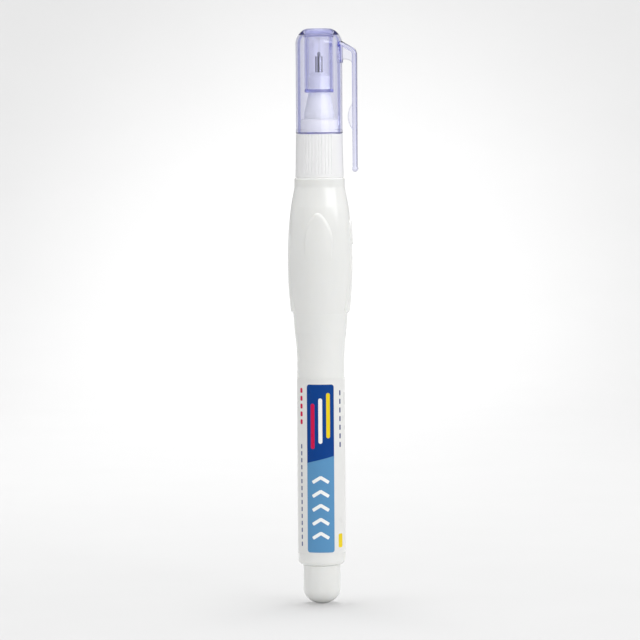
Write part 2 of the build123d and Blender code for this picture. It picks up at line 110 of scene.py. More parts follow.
# %% Material tools
def linear(hex_colour):
    """Turn an sRGB hex colour such as #E6E6E4 into a linear one with full alpha."""
    colour = []
    for first in (1, 3, 5):
        value = int(hex_colour[first:first + 2], 16) / 255
        colour.append(value / 12.92 if value <= 0.04045 else ((value + 0.055) / 1.055) ** 2.4)
    return (*colour, 1)


def add_node(material, kind, inputs=None, **settings):
    """Add one node to a material, set its properties, and set or link its inputs."""
    made = material.node_tree.nodes.new(kind)
    for name, value in settings.items():
        setattr(made, name, value)
    for name, value in (inputs or {}).items():
        if isinstance(value, bpy.types.NodeSocket):
            material.node_tree.links.new(value, made.inputs[name])
        else:
            made.inputs[name].default_value = value
    return made


def new_material(name):
    """Start an empty node material and return it with its output node."""
    material = bpy.data.materials.new(name)
    material.use_nodes = True
    material.node_tree.nodes.clear()
    output = add_node(material, "ShaderNodeOutputMaterial")
    return material, output


def per_metre(size_mm):
    """Noise scale that gives patches of a real size in millimetres."""
    return 1 / (size_mm * MM)


print("material tools are ready")

# %% [markdown]
# ## Picking by place
# By hand, an edge is picked with a click. A script has no mouse, so this helper picks those
# vertices, edges or faces whose corners lie in the wanted place. It leaves the piece in edit mode,
# ready for the next operator.

# %% Picking by place
def pick(piece, part, wanted):
    """Edit a piece with those vertices, edges or faces picked whose corners, in mm, are wanted."""
    bpy.ops.object.mode_set(mode="OBJECT")
    bpy.ops.object.select_all(action="DESELECT")
    piece.select_set(True)
    bpy.context.view_layer.objects.active = piece
    bpy.ops.object.mode_set(mode="EDIT")
    bpy.ops.mesh.select_mode(type=part)
    bpy.ops.mesh.select_all(action="DESELECT")
    bpy.ops.object.mode_set(mode="OBJECT")
    mesh = piece.data
    kinds = {"VERT": mesh.vertices, "EDGE": mesh.edges, "FACE": mesh.polygons}
    for item in kinds[part]:
        indices = [item.index] if part == "VERT" else item.vertices
        item.select = wanted([mesh.vertices[index].co / MM for index in indices])
    bpy.ops.object.mode_set(mode="EDIT")


print("picking by place is ready")

# %% [markdown]
# ## Studio sweep
# A studio hides the corner between floor and wall with one curved sheet of white paper. A plane
# is extruded up at its far edge, and that edge is bevelled into a wide curve. Two separate planes
# would show a line behind the pen.

# %% Floor and backdrop
sweep_width = 4000
sweep_front = 1500
sweep_back = 1100
sweep_height = 1500
sweep_curve, sweep_steps = 500, 48

bpy.ops.object.select_all(action="DESELECT")
bpy.ops.mesh.primitive_plane_add(size=1)
sweep = bpy.context.object
sweep.name = "studio_sweep"
bpy.ops.object.mode_set(mode="EDIT")
bpy.ops.transform.resize(value=(sweep_width * MM, (sweep_front + sweep_back) * MM, 1))
bpy.ops.transform.translate(value=(0, (sweep_back - sweep_front) / 2 * MM, 0))
pick(sweep, "EDGE", lambda corners: min(corner.y for corner in corners) > 0)
bpy.ops.mesh.extrude_region_move(TRANSFORM_OT_translate={"value": (0, 0, sweep_height * MM)})
bpy.ops.object.mode_set(mode="OBJECT")
fold = sweep.modifiers.new("fold", "BEVEL")
fold.width = sweep_curve * MM
fold.segments = sweep_steps
fold.limit_method = "ANGLE"
bpy.ops.object.modifier_apply(modifier=fold.name)
bpy.ops.object.shade_smooth()
print(f"sweep: {len(sweep.data.polygons)} faces")

# %% [markdown]
# ## Background paper
# The paper is matt, so it shows soft shades and no highlight, and its fibres cloud its white a
# little. A lamp behind the pen would light the wall in a round pool. Here the paper's own glow
# stands for that pool, and it fades out towards the floor in front, so that the pen keeps its
# shadow.

# %% Paper white
fibre_size = 40

paper, paper_output = new_material("white_background_paper_matt")
paper_place = add_node(paper, "ShaderNodeTexCoord")
paper_fibre = add_node(
    paper,
    "ShaderNodeTexNoise",
    {"Vector": paper_place.outputs["Object"], "Scale": per_metre(fibre_size)},
)
paper_white = add_node(
    paper,
    "ShaderNodeMix",
    {"Factor": paper_fibre.outputs["Fac"], 6: linear("#C2C2C2"), 7: linear("#C5C5C5")},
    data_type="RGBA",
)
print("paper: fibre clouds of", fibre_size, "mm")

# %% Pool of light
pool_centre, pool_size = (-62, 830, -75), (103, 744, 156)
pool_core, pool_rim = 0.33, 2.16  # shares of the pool's size
core_glow, rim_glow = 0.48, 0.16
fade_start, fade_end = 10, 900

pool_place = add_node(
    paper,
    "ShaderNodeMapping",
    {
        "Vector": paper_place.outputs["Object"],
        "Location": [value * MM for value in pool_centre],
        "Scale": [value * MM for value in pool_size],
    },
    vector_type="TEXTURE",
)
pool_distance = add_node(
    paper, "ShaderNodeVectorMath", {0: pool_place.outputs["Vector"]}, operation="LENGTH"
)
pool_light = add_node(
    paper,
    "ShaderNodeMapRange",
    {
        "Value": pool_distance.outputs["Value"],
        "From Min": pool_core,
        "From Max": pool_rim,
        "To Min": core_glow,
        "To Max": rim_glow,
    },
    interpolation_type="SMOOTHSTEP",
)
paper_depth = add_node(paper, "ShaderNodeSeparateXYZ", {0: paper_place.outputs["Object"]})
paper_fade = add_node(
    paper,
    "ShaderNodeMapRange",
    {"Value": paper_depth.outputs["Y"], "From Min": fade_start * MM, "From Max": fade_end * MM},
)
paper_glow = add_node(
    paper,
    "ShaderNodeMath",
    {0: pool_light.outputs["Result"], 1: paper_fade.outputs["Result"]},
    operation="MULTIPLY",
)
print("paper: pool of light", pool_size[0], "x", pool_size[2], "mm")

# %% [markdown]
# ## Shadow at the foot
# Right under the tail a hard floor shows a nearly black spot. In the picture the shadow stays soft
# there, so the paper gets a small, weak glow at the foot. Only the camera sees it, so it doesn't
# light the tail from below.

# %% Paper shader
foot_r, foot_brightness = 8, 0.3

foot_distance = add_node(
    paper, "ShaderNodeVectorMath", {0: paper_place.outputs["Object"]}, operation="LENGTH"
)
foot_glow = add_node(
    paper,
    "ShaderNodeMapRange",
    {
        "Value": foot_distance.outputs["Value"],
        "From Max": foot_r * MM,
        "To Min": foot_brightness,
        "To Max": 0,
    },
    interpolation_type="SMOOTHSTEP",
)
paper_seen = add_node(paper, "ShaderNodeLightPath")
foot_light = add_node(
    paper,
    "ShaderNodeMath",
    {0: foot_glow.outputs["Result"], 1: paper_seen.outputs["Is Camera Ray"]},
    operation="MULTIPLY",
)
paper_light = add_node(
    paper, "ShaderNodeMath", {0: paper_glow.outputs[0], 1: foot_light.outputs[0]}, operation="ADD"
)
paper_shader = add_node(
    paper,
    "ShaderNodeBsdfPrincipled",
    {
        "Base Color": paper_white.outputs[2],
        "Roughness": 0.9,
        "Emission Color": linear("#FFFFFF"),
        "Emission Strength": paper_light.outputs[0],
    },
)
paper.node_tree.links.new(paper_shader.outputs[0], paper_output.inputs["Surface"])
sweep.data.materials.append(paper)
print("paper: foot glow within", foot_r, "mm")

# %% [markdown]
# ## Light
# The picture is high-key: white paper all round, and large soft boxes. The room itself glows
# softly, a little less on the left. One soft box hangs overhead and gives the shadow under the
# tail. A broad one stands at the front right, and beside it a bright strip, rolled a little, draws
# the sharp highlight on the pen's shoulder.

# %% Glow of the room
room_left, room_right = 0.63, 0.72

room = bpy.data.worlds.new("pale_studio_room")
bpy.context.scene.world = room
room.use_nodes = True
room_glow = room.node_tree.nodes["Background"]
room_glow.inputs["Color"].default_value = linear("#FDFDFD")
room_way = add_node(room, "ShaderNodeTexCoord")
room_side = add_node(room, "ShaderNodeSeparateXYZ", {0: room_way.outputs["Generated"]})
room_light = add_node(
    room,
    "ShaderNodeMapRange",
    {"Value": room_side.outputs["X"], "From Min": -1, "To Min": room_left, "To Max": room_right},
)
room.node_tree.links.new(room_light.outputs["Result"], room_glow.inputs["Strength"])
bpy.context.scene.view_settings.view_transform = "Standard"
print(f"room: glow of {room_left} on the left, {room_right} on the right")

# %% Soft boxes
pen_middle = Vector((0, 0, pen_length / 2))
overhead_rise = 80
soft_boxes = {
    # name: (degrees round from the front, degrees up, distance, width, height, roll, brightness)
    "overhead_soft_box": (180, 83, 1030, 560, 560, 0, 12.0),
    "right_soft_box": (33, 19, 900, 660, 690, 0, 0.62),
    "right_soft_box_core": (54, 18.7, 890, 790, 160, -12, 3.0),
}
for name, (turn, rise, distance, width, height, roll, brightness) in soft_boxes.items():
    way = Euler((0, 0, math.radians(turn))).to_matrix() @ Vector(
        (0, -math.cos(math.radians(rise)), math.sin(math.radians(rise)))
    )
    facing = way.to_track_quat("Z", "Y").to_matrix() @ Matrix.Rotation(math.radians(roll), 3, "Z")
    bpy.ops.object.light_add(
        type="AREA", location=(pen_middle + way * distance) * MM, rotation=facing.to_euler()
    )
    soft_box = bpy.context.object
    soft_box.name = name
    soft_box.data.shape = "RECTANGLE"
    soft_box.data.size = width * MM
    soft_box.data.size_y = height * MM
    soft_box.data.energy = brightness * math.pi * width * height * MM ** 2
    # The overhead box would show as a white square in the cap's clear roof.
    soft_box.visible_transmission = soft_box.visible_glossy = rise < overhead_rise
    print(f"{name}: {soft_box.data.energy:.2f} W")

# %% [markdown]
# ## Light paths
# Cycles follows each ray for a set number of bounces. Light crosses up to eight clear walls in the
# cap, and is thrown back inside each of them, so with the usual few bounces the cap would turn
# dark. Blurring mirrored light would hide noise, but it would soften highlights too, so it is off.

# %% Light paths
light_paths = bpy.context.scene.cycles
light_paths.max_bounces = 64
light_paths.transmission_bounces = 48
light_paths.glossy_bounces = 48
light_paths.diffuse_bounces = 8
light_paths.blur_glossy = 0
print(f"light paths: up to {light_paths.max_bounces} bounces")

# %% [markdown]
# ## Dark cards
# Clear plastic on white paper has hardly any outline. So a photographer stands darker cards beside
# the picture, and they draw its outline: the steep edges of the cap bend the lavender ones, and
# mirror the grey ones. These cards show in such edges only, and they shade nothing.

# %% Card papers
card_fibre_size = 30
card_tones = {"lavender": ("#A6A9CE", "#AEB1D4"), "grey": ("#88888C", "#909094")}
card_papers = {}
for tone, (darker, lighter) in card_tones.items():
    card, card_output = new_material(f"{tone}_card_matt")
    card_place = add_node(card, "ShaderNodeTexCoord")
    card_fibre = add_node(
        card,
        "ShaderNodeTexNoise",
        {"Vector": card_place.outputs["Object"], "Scale": per_metre(card_fibre_size)},
    )
    card_tone = add_node(
        card,
        "ShaderNodeMix",
        {"Factor": card_fibre.outputs["Fac"], 6: linear(darker), 7: linear(lighter)},
        data_type="RGBA",
    )
    card_shader = add_node(
        card, "ShaderNodeBsdfPrincipled", {"Base Color": card_tone.outputs[2], "Roughness": 0.9}
    )
    card.node_tree.links.new(card_shader.outputs[0], card_output.inputs["Surface"])
    card_papers[tone] = card
print("card papers:", *card_papers)

# %% Dark cards
card_depth, card_foot, card_height = 300, 95, 320
cards = {
    # name: (side, degrees off the line of sight where it starts and ends, tone)
    "left_lavender_card": (-1, 32, 62, "lavender"),
    "left_grey_card": (-1, 5, 62, "grey"),
    "right_lavender_card": (1, 32, 62, "lavender"),
    "right_grey_card": (1, 5, 62, "grey"),
}
sight_line = -card_depth * math.tan(camera_turn)
for name, (side, start, end, tone) in cards.items():
    near, far = (card_depth * math.tan(math.radians(angle)) for angle in (start, end))
    bpy.ops.object.select_all(action="DESELECT")
    bpy.ops.mesh.primitive_plane_add(size=1)
    stand = bpy.context.object
    stand.name = name
    bpy.ops.object.mode_set(mode="EDIT")
    bpy.ops.transform.resize(value=((far - near) * MM, card_height * MM, 1))
    bpy.ops.transform.rotate(value=math.pi / 2, orient_axis="X", center_override=(0, 0, 0))
    bpy.ops.transform.translate(
        value=(
            (sight_line + side * (near + far) / 2) * MM,
            card_depth * MM,
            (card_foot + card_height / 2) * MM,
        )
    )
    bpy.ops.object.mode_set(mode="OBJECT")
    stand.data.materials.append(card_papers[tone])
    stand.visible_camera = stand.visible_diffuse = stand.visible_shadow = False
    stand.visible_transmission = tone == "lavender"
    stand.visible_glossy = tone == "grey"
    print(f"{name}: {far - near:.0f} mm wide")

# %% [markdown]
# ## White moulded polyethylene
# The barrel and the tail are white polyethylene. It comes out of the mould smooth, with clear
# highlights, and it lets a little light in under its surface, which softens its shades. The fine
# grain of the tool is drawn as a shallow bump.

# %% White polyethylene
cloud_size = 9
grain_size, grain_depth = 0.35, 0.006

white_plastic, white_output = new_material("white_polyethylene_moulded_smooth")
white_place = add_node(white_plastic, "ShaderNodeTexCoord")
white_cloud = add_node(
    white_plastic,
    "ShaderNodeTexNoise",
    {"Vector": white_place.outputs["Object"], "Scale": per_metre(cloud_size), "Detail": 2},
)
white_tone = add_node(
    white_plastic,
    "ShaderNodeMix",
    {"Factor": white_cloud.outputs["Fac"], 6: linear("#EAEBE9"), 7: linear("#F0F0ED")},
    data_type="RGBA",
)
white_grain = add_node(
    white_plastic,
    "ShaderNodeTexNoise",
    {"Vector": white_place.outputs["Object"], "Scale": per_metre(grain_size), "Detail": 3},
)
white_gloss = add_node(
    white_plastic,
    "ShaderNodeMapRange",
    {"Value": white_cloud.outputs["Fac"], "To Min": 0.06, "To Max": 0.10},
)
white_bump = add_node(
    white_plastic,
    "ShaderNodeBump",
    {"Height": white_grain.outputs["Fac"], "Strength": 0.1, "Distance": grain_depth * MM},
)
white_shader = add_node(
    white_plastic,
    "ShaderNodeBsdfPrincipled",
    {
        "Base Color": white_tone.outputs[2],
        "Roughness": white_gloss.outputs["Result"],
        "Normal": white_bump.outputs["Normal"],
        "IOR": 1.51,
        "Subsurface Weight": 0.25,
        "Subsurface Radius": (1.0, 0.95, 0.85),
        "Subsurface Scale": 0.8 * MM,
    },
)
white_plastic.node_tree.links.new(white_shader.outputs[0], white_output.inputs["Surface"])
print("white polyethylene: smooth, grain of", grain_size, "mm")

# %% [markdown]
# ## White moulded polypropylene
# The collar is a harder and whiter plastic, polypropylene, because its snap bead and its ribs have
# to keep their shape. It comes from a lightly etched tool, so it is a little softer in its gloss.

# %% White polypropylene
hard_cloud_size = 5

hard_white, hard_output = new_material("white_polypropylene_moulded_gloss")
hard_place = add_node(hard_white, "ShaderNodeTexCoord")
hard_cloud = add_node(
    hard_white,
    "ShaderNodeTexNoise",
    {"Vector": hard_place.outputs["Object"], "Scale": per_metre(hard_cloud_size), "Detail": 2},
)
hard_tone = add_node(
    hard_white,
    "ShaderNodeMix",
    {"Factor": hard_cloud.outputs["Fac"], 6: linear("#F7F7F8"), 7: linear("#FBFBFB")},
    data_type="RGBA",
)
hard_gloss = add_node(
    hard_white,
    "ShaderNodeMapRange",
    {"Value": hard_cloud.outputs["Fac"], "To Min": 0.16, "To Max": 0.24},
)
hard_shader = add_node(
    hard_white,
    "ShaderNodeBsdfPrincipled",
    {
        "Base Color": hard_tone.outputs[2],
        "Roughness": hard_gloss.outputs["Result"],
        "IOR": 1.49,
        "Subsurface Weight": 0.1,
        "Subsurface Radius": (1.0, 1.0, 1.0),
        "Subsurface Scale": 0.3 * MM,
    },
)
hard_white.node_tree.links.new(hard_shader.outputs[0], hard_output.inputs["Surface"])
print("white polypropylene: gloss, cloud of", hard_cloud_size, "mm")

# %% [markdown]
# ## Clear lavender polystyrene
# The cap is clear polystyrene with a little violet-blue dye. Dye takes out light along the way
# through the plastic, so thick and edge-on places are deeper in colour. That is what a volume
# absorption does, and it is why the surface itself stays colourless.

# %% Clear polystyrene
flow_size, flow_depth = 6, 0.05
dye_per_metre = 66

clear_plastic, clear_output = new_material("clear_polystyrene_lavender_polished")
clear_place = add_node(clear_plastic, "ShaderNodeTexCoord")
clear_flow = add_node(
    clear_plastic,
    "ShaderNodeTexNoise",
    {"Vector": clear_place.outputs["Object"], "Scale": per_metre(flow_size), "Detail": 1},
)
clear_gloss = add_node(
    clear_plastic,
    "ShaderNodeMapRange",
    {"Value": clear_flow.outputs["Fac"], "To Min": 0.01, "To Max": 0.05},
)
clear_wave = add_node(
    clear_plastic,
    "ShaderNodeBump",
    {"Height": clear_flow.outputs["Fac"], "Strength": 0.2, "Distance": flow_depth * MM},
)
clear_shader = add_node(
    clear_plastic,
    "ShaderNodeBsdfPrincipled",
    {
        "Base Color": linear("#FBFBFF"),
        "Roughness": clear_gloss.outputs["Result"],
        "Normal": clear_wave.outputs["Normal"],
        "IOR": 1.57,
        "Transmission Weight": 1,
    },
)
clear_dye = add_node(
    clear_plastic,
    "ShaderNodeVolumeAbsorption",
    {"Color": linear("#4C5CE6"), "Density": dye_per_metre},
)
clear_plastic.node_tree.links.new(clear_shader.outputs[0], clear_output.inputs["Surface"])
clear_plastic.node_tree.links.new(clear_dye.outputs[0], clear_output.inputs["Volume"])
print("clear polystyrene: dye density", dye_per_metre)

# %% [markdown]
# ## Natural polypropylene
# The nozzle, the spring seat and the needle's sleeve are natural polypropylene: milky, with soft
# edges, because light wanders in it further than in the white plastic.

# %% Natural polypropylene
milky_cloud_size = 3

milky_plastic, milky_output = new_material("natural_polypropylene_moulded")
milky_place = add_node(milky_plastic, "ShaderNodeTexCoord")
milky_cloud = add_node(
    milky_plastic,
    "ShaderNodeTexNoise",
    {"Vector": milky_place.outputs["Object"], "Scale": per_metre(milky_cloud_size), "Detail": 2},
)
milky_tone = add_node(
    milky_plastic,
    "ShaderNodeMix",
    {"Factor": milky_cloud.outputs["Fac"], 6: linear("#EAECF0"), 7: linear("#F2F3F6")},
    data_type="RGBA",
)
milky_shader = add_node(
    milky_plastic,
    "ShaderNodeBsdfPrincipled",
    {
        "Base Color": milky_tone.outputs[2],
        "Roughness": 0.3,
        "IOR": 1.49,
        "Subsurface Weight": 0.5,
        "Subsurface Radius": (1.0, 1.0, 1.0),
        "Subsurface Scale": 1.2 * MM,
    },
)
milky_plastic.node_tree.links.new(milky_shader.outputs[0], milky_output.inputs["Surface"])
print("natural polypropylene: milky, cloud of", milky_cloud_size, "mm")

# %% [markdown]
# ## Drawn stainless steel
# The needle, the spring and the ball are bright stainless steel. Drawing leaves fine rings round
# the wire, which break its highlight into thin lines. They are noise, stretched across the pen's
# axis.

# %% Stainless steel
ring_size, ring_stretch = 0.08, 0.05

steel, steel_output = new_material("stainless_steel_drawn_bright")
steel_place = add_node(steel, "ShaderNodeTexCoord")
steel_stretch = add_node(
    steel,
    "ShaderNodeMapping",
    {"Vector": steel_place.outputs["Object"], "Scale": (ring_stretch, ring_stretch, 1)},
)
steel_rings = add_node(
    steel,
    "ShaderNodeTexNoise",
    {"Vector": steel_stretch.outputs["Vector"], "Scale": per_metre(ring_size), "Detail": 2},
)
steel_tone = add_node(
    steel,
    "ShaderNodeMix",
    {"Factor": steel_rings.outputs["Fac"], 6: linear("#8E9095"), 7: linear("#B9BBBF")},
    data_type="RGBA",
)
steel_gloss = add_node(
    steel,
    "ShaderNodeMapRange",
    {"Value": steel_rings.outputs["Fac"], "To Min": 0.05, "To Max": 0.12},
)
steel_shader = add_node(
    steel,
    "ShaderNodeBsdfPrincipled",
    {
        "Base Color": steel_tone.outputs[2],
        "Roughness": steel_gloss.outputs["Result"],
        "Metallic": 1,
    },
)
steel.node_tree.links.new(steel_shader.outputs[0], steel_output.inputs["Surface"])
print("stainless steel: rings of", ring_size, "mm")

# %% [markdown]
# ## Rolled steel tube
# The tip is a fine tube that was rolled round a mandrel. Six shallow flutes run along it. They are
# not modelled but painted: each is a dark line of painted shade between two bright lines of painted
# highlight. The angle round the tube places them.

# %% Rolled steel
flutes = 6
flute_start, flute_end = 0.12, 0.42  # shares of one flute's width

rolled_steel, rolled_output = new_material("stainless_steel_rolled_painted_flute_shade")
rolled_place = add_node(rolled_steel, "ShaderNodeTexCoord")
rolled_round = add_node(
    rolled_steel,
    "ShaderNodeTexGradient",
    {"Vector": rolled_place.outputs["Object"]},
    gradient_type="RADIAL",
)
rolled_count = add_node(
    rolled_steel,
    "ShaderNodeMath",
    {0: rolled_round.outputs["Fac"], 1: flutes},
    operation="MULTIPLY",
)
rolled_wave = add_node(
    rolled_steel, "ShaderNodeMath", {0: rolled_count.outputs[0], 1: 0.5}, operation="PINGPONG"
)
flute_shade_mask = add_node(
    rolled_steel,
    "ShaderNodeMapRange",
    {"Value": rolled_wave.outputs[0], "From Min": flute_start, "From Max": flute_end},
    interpolation_type="SMOOTHSTEP",
)
# Painted light: the bright colour is a painted highlight and the dark one a painted shade of each
# flute.
flute_shade_and_highlight = add_node(
    rolled_steel,
    "ShaderNodeMix",
    {"Factor": flute_shade_mask.outputs["Result"], 6: linear("#E4E5EA"), 7: linear("#3C3E55")},
    data_type="RGBA",
)
rolled_shader = add_node(
    rolled_steel,
    "ShaderNodeBsdfPrincipled",
    {"Base Color": flute_shade_and_highlight.outputs[2], "Roughness": 0.22, "Metallic": 1},
)
rolled_steel.node_tree.links.new(rolled_shader.outputs[0], rolled_output.inputs["Surface"])
print("rolled steel:", flutes, "flutes")

# %% [markdown]
# ## Soft elastomer
# The washer on the neck is a soft, matt elastomer with fine grit and no highlight. It is hidden in
# the closed pen, and shows only when someone takes the model apart.

# %% Elastomer
grit_size = 0.4

elastomer, elastomer_output = new_material("gasket_elastomer_matt")
elastomer_place = add_node(elastomer, "ShaderNodeTexCoord")
elastomer_grit = add_node(
    elastomer,
    "ShaderNodeTexNoise",
    {"Vector": elastomer_place.outputs["Object"], "Scale": per_metre(grit_size), "Detail": 3},
)
elastomer_tone = add_node(
    elastomer,
    "ShaderNodeMix",
    {"Factor": elastomer_grit.outputs["Fac"], 6: linear("#CFCFCB"), 7: linear("#DEDEDA")},
    data_type="RGBA",
)
elastomer_shader = add_node(
    elastomer,
    "ShaderNodeBsdfPrincipled",
    {"Base Color": elastomer_tone.outputs[2], "Roughness": 0.75},
)
elastomer.node_tree.links.new(elastomer_shader.outputs[0], elastomer_output.inputs["Surface"])
print("elastomer: matt, grit of", grit_size, "mm")

# %% [markdown]
# ## Dress the CAD pieces
# These nodes have the right shape already, so they aren't modelled again. They only get the finish
# that the real piece has.

# %% Finishes on the CAD nodes
finishes = {
    "barrel": white_plastic,
    "end_plug": white_plastic,
    "ribbed_collar": hard_white,
    "nozzle": milky_plastic,
    "spring_seat": milky_plastic,
    "needle_plunger": milky_plastic,
    "neck_gasket": elastomer,
    "metal_tip": rolled_steel,
    "valve_needle": steel,
    "mixing_ball": steel,
}
for name, finish in finishes.items():
    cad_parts[name].material_slots[0].material = finish
    print(f"{name}: {finish.name}")

# %% [markdown]
# ## Outlines
# Most pieces of this pen start from an outline: a few corners in millimetres, some of them rounded
# as a mould rounds them. Drawing each curve point by point would hide the sizes, so these helpers
# work out the points of a rounded corner and of a dome's arc.

# %% Rounded outlines
round_step = math.radians(12)


def rounded(corners):
    """Points of a closed outline, from corners of (across, height, rounding) in millimetres."""
    points = []
    for index, (across, height, rounding) in enumerate(corners):
        corner = Vector((across, height))
        if rounding == 0:
            points.append(corner)
            continue
        back = (Vector(corners[index - 1][:2]) - corner).normalized()
        ahead = (Vector(corners[(index + 1) % len(corners)][:2]) - corner).normalized()
        half_angle = back.angle(ahead) / 2
        middle = corner + (back + ahead).normalized() * rounding / math.sin(half_angle)
        reach = rounding / math.tan(half_angle)
        first = corner + back * reach - middle
        turn = first.angle_signed(corner + ahead * reach - middle)
        steps = max(2, math.ceil(abs(turn) / round_step))
        for step in range(steps + 1):
            points.append(middle + Matrix.Rotation(-turn * step / steps, 2) @ first)
    return points


def rising_arc(low, high, steps):
    """Points of an arc that leaves the low point straight up and bends in to the high point."""
    across, rise = low[0] - high[0], high[1] - low[1]
    radius = (rise ** 2 + across ** 2) / (2 * across)
    end = math.atan2(rise, radius - across)
    middle = Vector((low[0] - radius, low[1]))
    angles = [end * step / steps for step in range(steps + 1)]
    return [middle + Vector((math.cos(a), math.sin(a))) * radius for a in angles]


print(f"outlines: corners rounded in steps of {math.degrees(round_step):.0f} degrees")

# %% [markdown]
# ## Turning
# A round piece is turned, as on a lathe. The outline is drawn as a closed chain of edges, one
# extrusion after another, and the chain is spun round the pen's axis. The spin ends where it began,
# so its doubles are merged, and its faces are then pointed outwards.

# %% Turning
def draw_chain(name, points):
    """Draw a closed chain of edges through (x, z) points in millimetres, and stay in edit mode."""
    bpy.ops.object.select_all(action="DESELECT")
    bpy.ops.mesh.primitive_plane_add(size=MM)
    piece = bpy.context.object
    piece.name = name
    bpy.ops.object.mode_set(mode="EDIT")
    bpy.ops.mesh.select_mode(type="VERT")
    bpy.ops.mesh.select_all(action="SELECT")
    bpy.ops.mesh.merge(type="CENTER")
    bpy.ops.transform.translate(value=(points[0].x * MM, 0, points[0].y * MM))
    for here, there in zip(points, [*points[1:], points[0]]):
        step = (there - here) * MM
        bpy.ops.mesh.extrude_region_move(TRANSFORM_OT_translate={"value": (step.x, 0, step.y)})
    bpy.ops.mesh.select_all(action="SELECT")
    bpy.ops.mesh.remove_doubles(threshold=MM / 1000)
    return piece


def close_up(smooth_angle=25):
    """Merge doubles, point faces outwards, leave edit mode and shade smooth below an angle."""
    bpy.ops.mesh.select_all(action="SELECT")
    bpy.ops.mesh.remove_doubles(threshold=MM / 1000)
    bpy.ops.mesh.normals_make_consistent(inside=False)
    bpy.ops.object.mode_set(mode="OBJECT")
    bpy.ops.object.shade_smooth_by_angle(angle=math.radians(smooth_angle))


def turn_piece(name, points, segments):
    """Spin a closed outline round the pen's axis into a solid piece."""
    piece = draw_chain(name, points)
    bpy.ops.mesh.spin(steps=segments, angle=2 * math.pi, center=(0, 0, 0), axis=(0, 0, 1))
    close_up()
    print(f"{name}: {len(piece.data.polygons)} faces")
    return piece


print("turning is ready")

# %% [markdown]
# ## Cap shell
# The cap is a clear moulding with a domed top, and inside it hangs a tube that seals on the
# nozzle's nose. Both mouths have a slope inside, which leads the nose and the collar in. It mirrors
# light up the wall, so it shows as a dark line. A fine, even mesh matters here, because each facet
# of a clear piece bends the light. So one outline is turned in many steps.

# %% Cap shell
cap_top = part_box("cap")[1].z / MM
cap_length, tube_length = 25.43, 15.45
cap_r, cap_bore = 5.62, 4.65
tube_r, tube_bore = 3.53, 2.70
tube_roof_wall, ring_roof_wall = 2.0, 1.35
dome_height, dome_steps = 3.7, 30
inner_dome_steps, root_steps = 16, 5  # the last steps leave room for the tube's rounded root
crown_r, crown_edge = 3.0, 0.35
rim_lift, rim_band = 0.05, 1.0
tube_lead_width, tube_lead_height = 0.68, 0.78
mouth_lead = 0.35
moulded_edge, root_edge = 0.2, 0.3
cap_segments = 160

cap_rim = cap_top - cap_length
tube_rim = cap_top - tube_length
tube_roof = cap_top - tube_roof_wall
ring_roof = cap_top - ring_roof_wall
dome_foot = cap_top - dome_height
outer_dome = rising_arc((cap_r, dome_foot), (crown_r, cap_top), dome_steps)
inner_dome = rising_arc((cap_bore, dome_foot), (tube_r, ring_roof), inner_dome_steps)
cap_corners = [
    (0, cap_top, 0),
    (0, tube_roof, 0),
    (tube_bore, tube_roof, root_edge),
    (tube_bore, tube_rim + tube_lead_height, 0),
    (tube_bore + tube_lead_width, tube_rim, 0),
    (tube_r, tube_rim, moulded_edge / 2),
    (tube_r, ring_roof, root_edge),
    *[(p.x, p.y, 0) for p in reversed(inner_dome[:-root_steps])],
    (cap_bore, cap_rim + mouth_lead, 0),
    (cap_bore + mouth_lead, cap_rim, 0),
    (cap_r + rim_lift, cap_rim, moulded_edge),
    (cap_r + rim_lift, cap_rim + rim_band - rim_lift, 0),
    (cap_r, cap_rim + rim_band, 0),
    *[(p.x, p.y, 0) for p in outer_dome[:-1]],
    (crown_r, cap_top, crown_edge),
]
cap = turn_piece("cap_moulding", rounded(cap_corners), cap_segments)

# %% [markdown]
# ## Clip
# The clip springs from a small flat pad on the cap's side, bends over and runs down beside the
# barrel to a rounded end. In side view it is one outline, so a plate is the natural start: the
# outline is filled with a face and extruded across the pen. Its lower end is then drawn in to a
# taper, and its edges are bevelled.

# %% Plates
def plate_piece(name, points, thickness):
    """Extrude a closed outline across the pen into a solid plate."""
    piece = draw_chain(name, points)
    bpy.ops.mesh.edge_face_add()
    bpy.ops.transform.translate(value=(0, -thickness / 2 * MM, 0))
    bpy.ops.mesh.extrude_region_move(TRANSFORM_OT_translate={"value": (0, thickness * MM, 0)})
    close_up()
    print(f"{name}: {len(piece.data.polygons)} faces")
    return piece


print("plates are ready")

# %% Clip outline
clip_thick, clip_gap = 1.1, 2.5
clip_length = 34.7
arm_root_drop, arm_bend_drop = 3.4, 5.4
bend_r, bead_r, bead_steps = 1.6, 0.7, 16

half = clip_thick / 2
clip_mid = cap_r + clip_gap + half
clip_end = cap_top - clip_length
arm_root = Vector((cap_r - (cap_r - cap_bore) / 2, cap_top - arm_root_drop))
arm_bend = Vector((clip_mid, cap_top - arm_bend_drop))
arm_way = (arm_bend - arm_root).normalized()
arm_side = Vector((-arm_way.y, arm_way.x)) * half
outer_line = arm_root + arm_side
inner_line = arm_root - arm_side
outer_bend = outer_line + arm_way * (clip_mid + half - outer_line.x) / arm_way.x
inner_bend = inner_line + arm_way * (clip_mid - half - inner_line.x) / arm_way.x
bead_mid = Vector((clip_mid, clip_end + bead_r))
bead_from = math.acos(half / bead_r)
bead_turn = math.pi + 2 * bead_from
bead = []
for step in range(bead_steps + 1):
    angle = bead_from - bead_turn * step / bead_steps
    bead.append(bead_mid + Vector((math.cos(angle), math.sin(angle))) * bead_r)
clip_corners = [
    (*inner_line, 0),
    (*outer_line, 0),
    (*outer_bend, bend_r + half),
    *[(*p, 0) for p in bead],
    (*inner_bend, bend_r - half),
]
print(f"clip outline: {len(clip_corners)} corners, gap of {clip_gap} mm behind the bar")

# %% Clip bar
clip_width, clip_end_width = 4.0, 3.0
clip_taper = 3 * bead_r
clip_edge, clip_edge_steps = 0.45, 6

